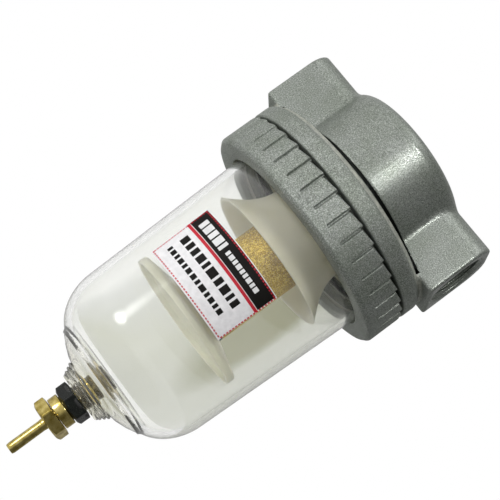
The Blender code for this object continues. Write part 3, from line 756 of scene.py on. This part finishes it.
def collar_outline(angle):
    """The collar's section at one angle round it; its upper edge falls from groove to groove."""
    pitch = 360 / GROOVES
    past_groove = (degrees(angle) - GROOVE_PHASE + pitch / 2) % pitch - pitch / 2
    side = collar_side(past_groove * radians(1) * COLLAR_RADIUS)
    top = COLLAR_TOP - TOOTH * (1 - (degrees(angle) - GROOVE_PHASE) % pitch / pitch)
    top_cut, bore, chamfer = COLLAR_RADIUS - side[0][0], SPIGOT_RADIUS + 0.3, COLLAR_CHAMFER
    outer, lip, bottom = COLLAR_RADIUS, COLLAR_LIP_RADIUS, COLLAR_BOTTOM
    return [
        (outer - 0.35 - top_cut * 0.9, top), (outer - 0.1 - top_cut, top - 0.12), *side,
        (outer, bottom + chamfer + 0.1), (outer - 0.12, bottom + chamfer - 0.2),
        (outer - chamfer + 0.2, bottom + 0.12), (outer - chamfer - 0.1, bottom),
        (lip + 0.5, bottom), (lip + 0.15, bottom + 0.15), (lip, bottom + 0.5), (lip, COLLAR_LIP_TOP),
        (bore, COLLAR_LIP_TOP), (bore, COLLAR_TOP),
    ]


def make_collar():
    """Columns are close together at the grooves and far apart between them."""
    before = [-3.2, -2.2, -1.3, -0.85, -0.7, -0.6, -0.5, -0.4, -0.3, -0.1]
    offsets = np.array([*before, 0.0, *(-offset for offset in reversed(before))])
    middles = np.radians(GROOVE_PHASE + 360 / GROOVES * np.arange(GROOVES))
    angles = (middles[:, None] + offsets / COLLAR_RADIUS).ravel()
    turned("collar_shell", collar_outline, CAST_MATT, "collar", "collar_ring", angles=angles, sharp=60.0)


# ---------------- bowl and label


def bowl_radius(z):
    return BOWL_TOP_RADIUS + BOWL_TAPER * (z - BOWL_FLANGE_BOTTOM)


def bowl_corner(inset):
    """The curve from the wall to the floor, moved in by inset along its normal."""
    reach, fall = bowl_radius(BOWL_SHOULDER) - BOWL_FLOOR_RADIUS, BOWL_SHOULDER - BOWL_FLOOR
    turn = radians(BOWL_CORNER_TURN)
    a = np.linspace(0, turn, 25)
    radius = BOWL_FLOOR_RADIUS + reach * (np.cos(a) - cos(turn)) / (1 - cos(turn))
    height = BOWL_SHOULDER - fall * np.sin(a) / sin(turn)
    out, down = -np.gradient(height), np.gradient(radius)
    length = np.hypot(out, down)
    return list(zip(radius - inset * out / length, height - inset * down / length))


def make_bowl():
    """The outline runs down the outside to the drain boss and up the inside from the sump."""
    wall_outside = np.linspace(BOWL_FLANGE_BOTTOM - 0.4, BOWL_SHOULDER + 2, 24)
    wall_inside = np.linspace(BOWL_SHOULDER + 2, BOWL_TOP, 24)
    lip = [
        (BOWL_LIP_RADIUS, BOWL_TOP, 0.4), (BOWL_LIP_RADIUS, BOWL_FLANGE_BOTTOM, 0.4),
        (bowl_radius(BOWL_FLANGE_BOTTOM), BOWL_FLANGE_BOTTOM, 0), (BOWL_LIP_RADIUS - 6, BOWL_TOP, 0),
    ]
    ridges = []
    for i in range(RIDGES):
        centre = (RIDGE_RADIUS - RIDGE_STEP * i, RIDGE_TOP - RIDGE_PITCH * i)
        ridges += arc(centre, RIDGE_ROUNDING, 75, -75, steps=5)
    outline = [
        *filleted(lip)[:-2],
        *[(bowl_radius(z), z) for z in wall_outside],
        *bowl_corner(0)[:-1],
        (BOWL_FLOOR_RADIUS + 0.3, BOWL_FLOOR - 0.1), (BOWL_FLOOR_RADIUS - 0.1, BOWL_FLOOR - 0.75),
        (BOWL_FLOOR_RADIUS - 0.8, BOWL_FLOOR - 0.85), *CONE_POINTS, *ridges,
        (BOSS_RADIUS, BOWL_BOTTOM + 0.3), (BOSS_RADIUS - 0.3, BOWL_BOTTOM), (BOSS_BORE, BOWL_BOTTOM),
        (BOSS_BORE, SUMP_FLOOR), (SUMP_RADIUS - 0.3, SUMP_FLOOR), (SUMP_RADIUS, SUMP_FLOOR + 0.3),
        (SUMP_RADIUS, SUMP_FLOOR + 1.5), (SUMP_RADIUS, SUMP_TOP - 0.4),
        (SUMP_RADIUS + 0.5, SUMP_TOP + 0.1),
        *reversed(bowl_corner(BOWL_WALL)),
        *[(bowl_radius(z) - BOWL_WALL, z) for z in wall_inside],
    ]
    shell = turned("bowl_shell", outline, CLEAR, "bowl", "bowl", sides=224, sharp=40.0)
    shell.visible_shadow = False


def patches(name, spans, material, lift, thickness, *nodes):
    """Thin curved sheets on the bowl; each span is (from, to, top, bottom), degrees and mm."""
    points, faces = [], []
    for start, end, top, bottom in spans:
        columns = max(2, int(abs(end - start) / 1.5) + 1)
        angles = np.radians(np.linspace(start, end, columns))
        first = len(points)
        for z, offset in ((top, 0), (top, thickness), (bottom, thickness), (bottom, 0)):
            radius = bowl_radius(z) + lift + offset
            points += [round_axis(radius, a, z) for a in angles]
        rows = [first + row * columns for row in range(4)]
        for here, there in zip(rows, rows[1:] + rows[:1]):
            for i in range(columns - 1):
                faces.append((here + i, there + i, there + i + 1, here + i + 1))
        faces.append(tuple(reversed(rows)))
        faces.append(tuple(row + columns - 1 for row in rows))
    return build(name, points, faces, material, "bowl", *nodes)


def bars(start, end, top, bottom, lengths, gap):
    """A broken line of blocks in the given proportions between two angles."""
    unit = (end - start - gap * (len(lengths) - 1)) / sum(lengths)
    spans, at = [], start
    for length in lengths:
        spans.append((at, at + unit * length, top, bottom))
        at += unit * length + gap
    return spans


def dashes(margin, dash, pitch):
    """A dashed frame round the label's edge; sizes in mm."""
    per_mm = degrees(1 / bowl_radius((LABEL_TOP + LABEL_BOTTOM) / 2))
    left, right = LABEL_FROM + margin * per_mm, LABEL_TO - margin * per_mm
    top, bottom = LABEL_TOP - margin, LABEL_BOTTOM + margin
    width = 0.45
    spans = []
    for at in np.arange(left, right, pitch * per_mm):
        for z in (top, bottom + width):
            spans.append((at, at + dash * per_mm, z, z - width))
    for z in np.arange(top, bottom + dash, -pitch):
        for at in (left, right):
            spans.append((at, at + width * per_mm, z, z - dash))
    return spans


def make_label():
    """A white sticker with a black header, a red stripe and border, and bars in place of its text."""
    top = LABEL_TOP
    sheet = (LABEL_FROM, LABEL_TO, top, LABEL_BOTTOM)
    patches("label_sheet", [sheet], LABEL_WHITE, LABEL_LIFT, LABEL_SHEET, "label")
    on_sheet = LABEL_LIFT + LABEL_SHEET
    left, right, header_bottom = LABEL_FROM + 0.5, LABEL_TO - 0.9, top - 7.3
    header = (left, right, top - 0.3, header_bottom)
    patches("label_header", [header], INK_BLACK, on_sheet, INK)
    stripe = (left, right + 0.5, header_bottom - 0.2, header_bottom - 1.3)
    patches("label_stripe", [stripe], INK_RED, on_sheet, INK)
    patches("label_border", dashes(0.5, 0.7, 1.15), INK_RED, on_sheet + 0.03, INK)
    title = bars(-119.0, -97.0, top - 2.4, top - 6.0, (3, 4, 3, 4, 2), gap=1.0)
    subtitle = bars(-94.0, -66.0, top - 3.4, top - 5.2, (2, 3, 2, 3, 2, 2, 3, 2, 3), gap=0.8)
    patches("label_title_bars", title + subtitle, INK_WHITE, on_sheet + INK, INK)
    big, small = (4, 3, 3, 4, 2, 5, 3, 4, 2, 3), (2, 3, 2, 3, 2, 3, 3, 2, 4, 2, 3, 2, 3)
    upper = bars(-118.5, -66.5, header_bottom - 3.2, header_bottom - 6.4, big, gap=1.5)
    lower = bars(-119.0, -68.0, header_bottom - 9.2, header_bottom - 11.2, small, gap=1.2)
    patches("label_text_bars", upper + lower, INK_BLACK, on_sheet, INK)


# ---------------- deflector, element and baffle


def hood_curve():
    """The hood's outer line, flaring out more and more towards its rim."""
    u = np.linspace(0, 1, 28)
    radius = HOOD_NECK_RADIUS + (HOOD_RIM_RADIUS - HOOD_NECK_RADIUS) * u**HOOD_FLARE
    return list(zip(radius, HOOD_TOP + (HOOD_RIM + 0.15 - HOOD_TOP) * u))


def make_deflector():
    """The hood, with the plate above it that the swirl slots are cut through."""
    top = high("swirl_deflector").z
    plate_bottom = top - SWIRL_PLATE
    outer = hood_curve()
    inner = [(r - HOOD_WALL, z - 0.35) for r, z in outer[1:-1]]
    neck_radius, rim_radius, rim = outer[0][0], *outer[-1]
    outline = [
        (SPIGOT_BORE - 0.3, top), (SPIGOT_BORE - 0.3, plate_bottom), (neck_radius, plate_bottom), *outer,
        (rim_radius - 0.25, rim - 0.15), (rim_radius - HOOD_WALL + 0.3, rim - 0.1), *reversed(inner),
        (neck_radius - HOOD_WALL, NECK_BOTTOM - 2.3), (NECK_BORE, NECK_BOTTOM - 2.3),
        (NECK_BORE, NECK_BOTTOM - 0.3), (NECK_RADIUS + 0.3, NECK_BOTTOM - 0.3), (NECK_RADIUS + 0.3, top),
    ]
    piece = turned("deflector_shell", outline, MILKY, "head", "swirl_deflector", sides=168)
    cutter = slot_cutter((top + plate_bottom) / 2)
    modifier = piece.modifiers.new("slots", "BOOLEAN")
    modifier.object = cutter
    modifier.operation = "DIFFERENCE"
    graph = bpy.context.evaluated_depsgraph_get()
    cut = bpy.data.meshes.new_from_object(piece.evaluated_get(graph))
    piece.modifiers.clear()
    piece.data = cut
    bpy.data.objects.remove(cutter, do_unlink=True)


def slot_cutter(middle):
    """Slanted bars, one for each swirl slot in the deflector's plate."""
    inner, outer, half_width, half_length = 20.0, 28.6, 1.6, 2.5
    corners = [(x, side * half_width, end * half_length)
               for x in (inner, outer) for side in (-1, 1) for end in (-1, 1)]
    sides = [(0, 1, 3, 2), (4, 6, 7, 5), (0, 4, 5, 1), (2, 3, 7, 6), (0, 2, 6, 4), (1, 5, 7, 3)]
    slant = Matrix.Rotation(radians(SWIRL_SLANT), 3, "X")
    points, faces = [], []
    for i in range(SWIRL_SLOTS):
        turn = Matrix.Rotation(2 * pi * i / SWIRL_SLOTS, 3, "Z") @ slant
        first = len(points)
        points += [(turn @ Vector(corner) + Vector((0, 0, middle))) * MM for corner in corners]
        faces += [tuple(first + k for k in side) for side in sides]
    mesh = bpy.data.meshes.new("slot_cutter")
    mesh.from_pydata(points, [], faces)
    return linked("slot_cutter", mesh)


def ball_centres():
    """The bronze balls round the element's outside, in staggered rows, each a little out of place."""
    row_height = BALL_SPACING * 0.87
    around = int(2 * pi * ELEMENT_RADIUS / BALL_SPACING)
    rows = int((ELEMENT_TOP - ELEMENT_BOTTOM) / row_height)
    random = np.random.default_rng(11)
    tree = KDTree(around * (rows + 2))
    for j in range(-1, rows + 1):
        for i in range(around):
            jitter = random.uniform(-BALL_JITTER, BALL_JITTER, 2)
            a = (i + 0.5 * (j % 2) + jitter[0]) / around * 2 * pi
            z = ELEMENT_BOTTOM + (j + 0.5 + jitter[1]) * row_height
            tree.insert(round_axis(ELEMENT_RADIUS, a, z), i + around * (j + 1))
    tree.balance()
    return tree


def make_element():
    """A tube of fused bronze balls: its outside bulges at each ball."""
    balls = ball_centres()
    columns = int(2 * pi * ELEMENT_RADIUS / ELEMENT_CELL)
    rows = int((ELEMENT_TOP - ELEMENT_BOTTOM) / ELEMENT_CELL)
    angles = np.arange(columns) * 2 * pi / columns
    top, bottom = ELEMENT_TOP - 0.02, ELEMENT_BOTTOM + 0.02
    points = []
    for z in np.linspace(top, bottom, rows):
        for a in angles:
            away = balls.find(round_axis(ELEMENT_RADIUS, a, z))[2]
            bulge = sqrt(max(BALL_RADIUS**2 - away**2, 0.003)) - BALL_RADIUS
            points.append(round_axis(ELEMENT_RADIUS + bulge, a, z))
    for z in (bottom, top):
        points += [round_axis(ELEMENT_BORE, a, z) for a in angles]
    faces = grid_faces(rows + 2, columns)
    build("element_shell", points, faces, BRONZE, "head", "filter_element", sharp=75.0)
    for gasket in ("element_top_gasket", "element_bottom_gasket"):
        ring(gasket + "_ring", ELEMENT_RADIUS, GASKET_BORE, span(gasket), RUBBER, "head", gasket)


def make_baffle():
    """A shallow cone with a turned-down rim, screwed onto the stud by the boss underneath."""
    hub, rim_top, inside = ELEMENT_RADIUS + 1, BAFFLE_RIM + BAFFLE_EDGE, BAFFLE_RADIUS - BAFFLE_WALL
    under, boss, boss_bottom = BAFFLE_TOP - BAFFLE_WALL, BAFFLE_BOSS_RADIUS, BAFFLE_BOSS_BOTTOM
    outline = [
        (hub, BAFFLE_TOP), *arc((BAFFLE_RADIUS - 0.9, rim_top - 0.75), 0.9, 70, 0, steps=5),
        (BAFFLE_RADIUS, BAFFLE_RIM + 0.2), (BAFFLE_RADIUS - 0.2, BAFFLE_RIM),
        (inside + 0.2, BAFFLE_RIM), (inside, BAFFLE_RIM + 0.2), (inside, rim_top - 1.2),
        (hub, under), (boss + 0.3, under), (boss, under - 0.3), (boss, boss_bottom + 0.3),
        (boss - 0.3, boss_bottom), (BAFFLE_BORE, boss_bottom), (BAFFLE_BORE, BAFFLE_TOP),
    ]
    turned("baffle_shell", outline, PALE, "head", "baffle_disc", sides=200)


def make_stud():
    radius, bottom = radius_of("centre_stud"), low("centre_stud").z
    rod("stud_core", radius - 0.35, STEEL, "centre_stud")
    thread(
        "stud_thread", radius, radius - STUD_THREAD_DEPTH, STUD_PITCH, bottom + 0.5,
        bottom + STUD_THREAD_LENGTH, radius - 0.7, STEEL, "head",
    )


# ---------------- drain


def make_drain():
    """The pieces that are fixed in the bowl: the brass bush, its gasket, two nuts and the seal."""
    shank_top, bush_bottom = span("drain_body")
    bush_top, core = low("drain_lock_nut").z - SHANK_GAP, SHANK_RADIUS - 0.3
    bush, shank = (bush_top, bush_bottom), (shank_top, bush_top - 0.5)
    ring("drain_body_turned", BUSH_RADIUS, BUSH_BORE, bush, BRASS, "bowl", "drain_body", edge=0.3)
    # the shank and its thread are drawn in brass painted dark as shade
    ring("drain_shank", core, BUSH_BORE, shank, BRASS_PAINTED_SHADE, "bowl", sides=72)
    thread(
        "drain_shank_thread", SHANK_RADIUS, SHANK_RADIUS - 0.6, SHANK_PITCH, bush_top + 0.2,
        shank_top - 0.6, SHANK_RADIUS - 0.9, BRASS_PAINTED_SHADE, "bowl",
    )
    bore, gasket = SHANK_RADIUS + SHANK_GAP, "drain_inner_gasket"
    ring("drain_gasket_ring", DRAIN_GASKET_RADIUS, bore, span(gasket), RUBBER, "bowl", gasket)
    hex_nut("drain_inner_hex", "drain_inner_nut", BRASS, flats=14.0, bore=bore)
    hex_nut(
        "drain_lock_hex", "drain_lock_nut", BLACK, flats=13.0, bore=bore, chamfers=(15, 30), face=0.92
    )
    o_ring("drain_outer_seal", "drain_outer_o_ring")


def make_valve():
    """The pieces that turn: pad, stem and its ring, knob and tube."""
    rod("drain_pad", STEM_RADIUS, RUBBER, "drain_seal")
    top, bottom = span("drain_stem")
    outline = [
        (STEM_RADIUS, top), (STEM_RADIUS, STEM_GROOVE + 0.6), (STEM_GROOVE_RADIUS, STEM_GROOVE + 0.5),
        (STEM_GROOVE_RADIUS, STEM_GROOVE - 0.5), (STEM_RADIUS, STEM_GROOVE - 0.6),
        (STEM_RADIUS, bottom), (STEM_BORE, bottom), (STEM_BORE, top),
    ]
    turned("drain_stem_rod", outline, BRASS, "drain_valve", "drain_stem", sides=48)
    o_ring("drain_stem_seal", "drain_stem_o_ring")
    hex_nut("drain_knob_hex", "drain_knob", BRASS, flats=13.4, bore=2.3, chamfers=(12, 30), face=0.93)
    top, tip = span("drain_tube")
    neck = low("drain_knob").z - 1.0
    tube = [
        (TUBE_RADIUS, top, 0.1), (TUBE_RADIUS, neck, 0.3), (TUBE_RADIUS - 0.1, neck - 0.4, 0.3),
        (TUBE_RADIUS - 0.05, tip + 1.0, 0.3), (TUBE_RADIUS - 0.25, tip, 0.2),
        (TUBE_BORE, tip, 0.2), (TUBE_BORE, top, 0.1),
    ]
    turned("drain_spout", filleted(tube), BRASS, "drain_valve", "drain_tube", sides=72)


def make_seals():
    """What lies between the bowl and the head and collar."""
    o_ring("bowl_seal", "bowl_o_ring")
    washer, bore = "bowl_slip_washer", COLLAR_LIP_RADIUS + 0.1
    ring("slip_washer_ring", radius_of(washer), bore, span(washer), SLIP, "slip_washer", washer)


# ---------------- light and floor

ALONG_PICTURE = (0.0335, -0.1446, 0.9886)  # the bowl's axis as it lies across the picture
ACROSS_PICTURE = (0.9695, 0.2439, 0.0028)  # square to it, towards the outlet
WASH_LEAN = -0.8  # how far the backdrop's wash leans over along the bowl
SHADOW_CENTRE, SHADOW_REACH = (-0.030, 0.092), (0.082, 0.066)  # along the axis and across it
SHADOW_TONE = (0.34, 0.34, 0.235, 1)
WHITE = (1, 1, 1, 1)


def area_light(name, azimuth, elevation, size, power, target=(0, 0, 0)):
    """A soft box one metre from the target, in a direction given in degrees."""
    a, e = radians(azimuth), radians(elevation)
    outward = Vector((cos(a) * cos(e), sin(a) * cos(e), sin(e)))
    data = bpy.data.lights.new(name, "AREA")
    data.shape = "RECTANGLE"
    data.size, data.size_y = size
    data.energy = power
    light = linked(name, data)
    light.location = Vector(target) + outward
    light.rotation_euler = outward.to_track_quat("Z", "Y").to_euler()
    return light


def soften(light, falloff):
    """Makes an area light fade from its middle towards its edges."""
    lamp = light.data
    lamp.use_nodes = True
    surface = node(lamp, "NewGeometry").outputs["Parametric"]
    centred = node(lamp, "Mapping", {"Vector": surface, "Location": (-1, -1, 0), "Scale": (2, 2, 0)})
    inputs = {"Vector": centred.outputs["Vector"]}
    fade = node(lamp, "TexGradient", inputs, gradient_type=falloff).outputs["Fac"]
    lamp.node_tree.links.new(fade, lamp.node_tree.nodes["Emission"].inputs["Strength"])


def surround(world):
    """Light that falls on the filter from all round, by compass direction: (degrees from +X, tone)."""
    tones = [
        (-180, 0.78), (-150, 0.94), (-105, 0.80), (-75, 0.52), (-55, 0.15),
        (0, 0.14), (50, 0.28), (110, 0.48), (180, 0.78),
    ]
    direction = node(world, "TexCoord").outputs["Generated"]
    around = node(world, "TexGradient", {"Vector": direction}, gradient_type="RADIAL")
    return ramp(world, around.outputs["Fac"], [((a + 180) / 360, (tone,) * 3) for a, tone in tones])


def backdrop(world):
    """What is seen through the bowl: white at the inlet side, grey to beige beyond, and a soft shadow.

    Places on it are sines of angles along the bowl's axis and across it.
    """
    direction = node(world, "TexCoord").outputs["Generated"]
    along, across = (
        node(world, "VectorMath", {0: direction, 1: axis}, operation="DOT_PRODUCT").outputs["Value"]
        for axis in (ALONG_PICTURE, ACROSS_PICTURE)
    )
    leaning = reckon(world, "MULTIPLY_ADD", along, WASH_LEAN, across)
    tones = [
        (-0.07, (1, 1, 1)), (-0.045, (0.90, 0.905, 0.90)), (-0.015, (0.77, 0.78, 0.77)),
        (0.035, (0.71, 0.72, 0.69)), (0.085, (0.655, 0.665, 0.59)), (0.17, (0.63, 0.64, 0.59)),
    ]
    start, end = -0.1, 0.2
    stops = [((at - start) / (end - start), tone) for at, tone in tones]
    wash = ramp(world, spread(world, leaning, start, end, 0.0, 1.0), stops)
    offsets = [
        reckon(world, "MULTIPLY_ADD", at, 1 / reach, -centre / reach)
        for at, centre, reach in zip((along, across), SHADOW_CENTRE, SHADOW_REACH)
    ]
    spot = node(world, "CombineXYZ", {0: offsets[0], 1: offsets[1]}).outputs[0]
    shadow = node(world, "TexGradient", {"Vector": spot}, gradient_type="SPHERICAL").outputs["Fac"]
    return mixed(world, wash, SHADOW_TONE, spread(world, shadow, 0.0, 0.5, 0.0, 1.0))


def make_world():
    """White where it is seen directly, the backdrop straight through the bowl, and soft grey as light."""
    world = bpy.data.worlds.new("studio")
    world.use_nodes = True
    bpy.context.scene.world = world
    ray = node(world, "LightPath").outputs
    straight = reckon(world, "LESS_THAN", ray["Diffuse Depth"], 0.5)
    through = reckon(world, "MULTIPLY", ray["Is Transmission Ray"], straight)
    tone = mixed(world, surround(world), backdrop(world), through)
    tone = mixed(world, tone, WHITE, ray["Is Camera Ray"])
    world.node_tree.links.new(tone, world.node_tree.nodes["Background"].inputs["Color"])


def make_floor():
    """A pale disc far below, which gives the filter no light of its own."""
    radius, height, sides = 2.3, -0.40, 96
    corners = [round_axis(radius, a, height) for a in np.arange(sides) * 2 * pi / sides]
    mesh = bpy.data.meshes.new("floor")
    mesh.from_pydata(corners, [], [tuple(range(sides))])
    floor = linked("floor", mesh)
    floor.visible_diffuse = floor.visible_glossy = False
    grey = (0.6, 0.6, 0.6, 1)
    mesh.materials.append(material_for(
        "floor_paint", Base_Color=grey, Roughness=0.9, Emission_Color=WHITE, Emission_Strength=0.62
    ))


def make_studio():
    bpy.context.scene.view_settings.view_transform = "Standard"
    make_world()
    key = area_light("key", -127.0, -7.5, size=(0.44, 0.42), power=16.0, target=(0, 0, -0.09))
    soften(key, "QUADRATIC_SPHERE")
    dome = area_light("dome_light", -75.0, 21.0, size=(0.20, 0.32), power=10.5)
    soften(dome, "SPHERICAL")
    area_light("top", -100.0, 60.0, size=(0.5, 0.5), power=1.0)
    make_floor()


make_camera()
make_head()
make_collar()
make_bowl()
make_label()
make_deflector()
make_element()
make_baffle()
make_stud()
make_drain()
make_valve()
make_seals()
make_studio()
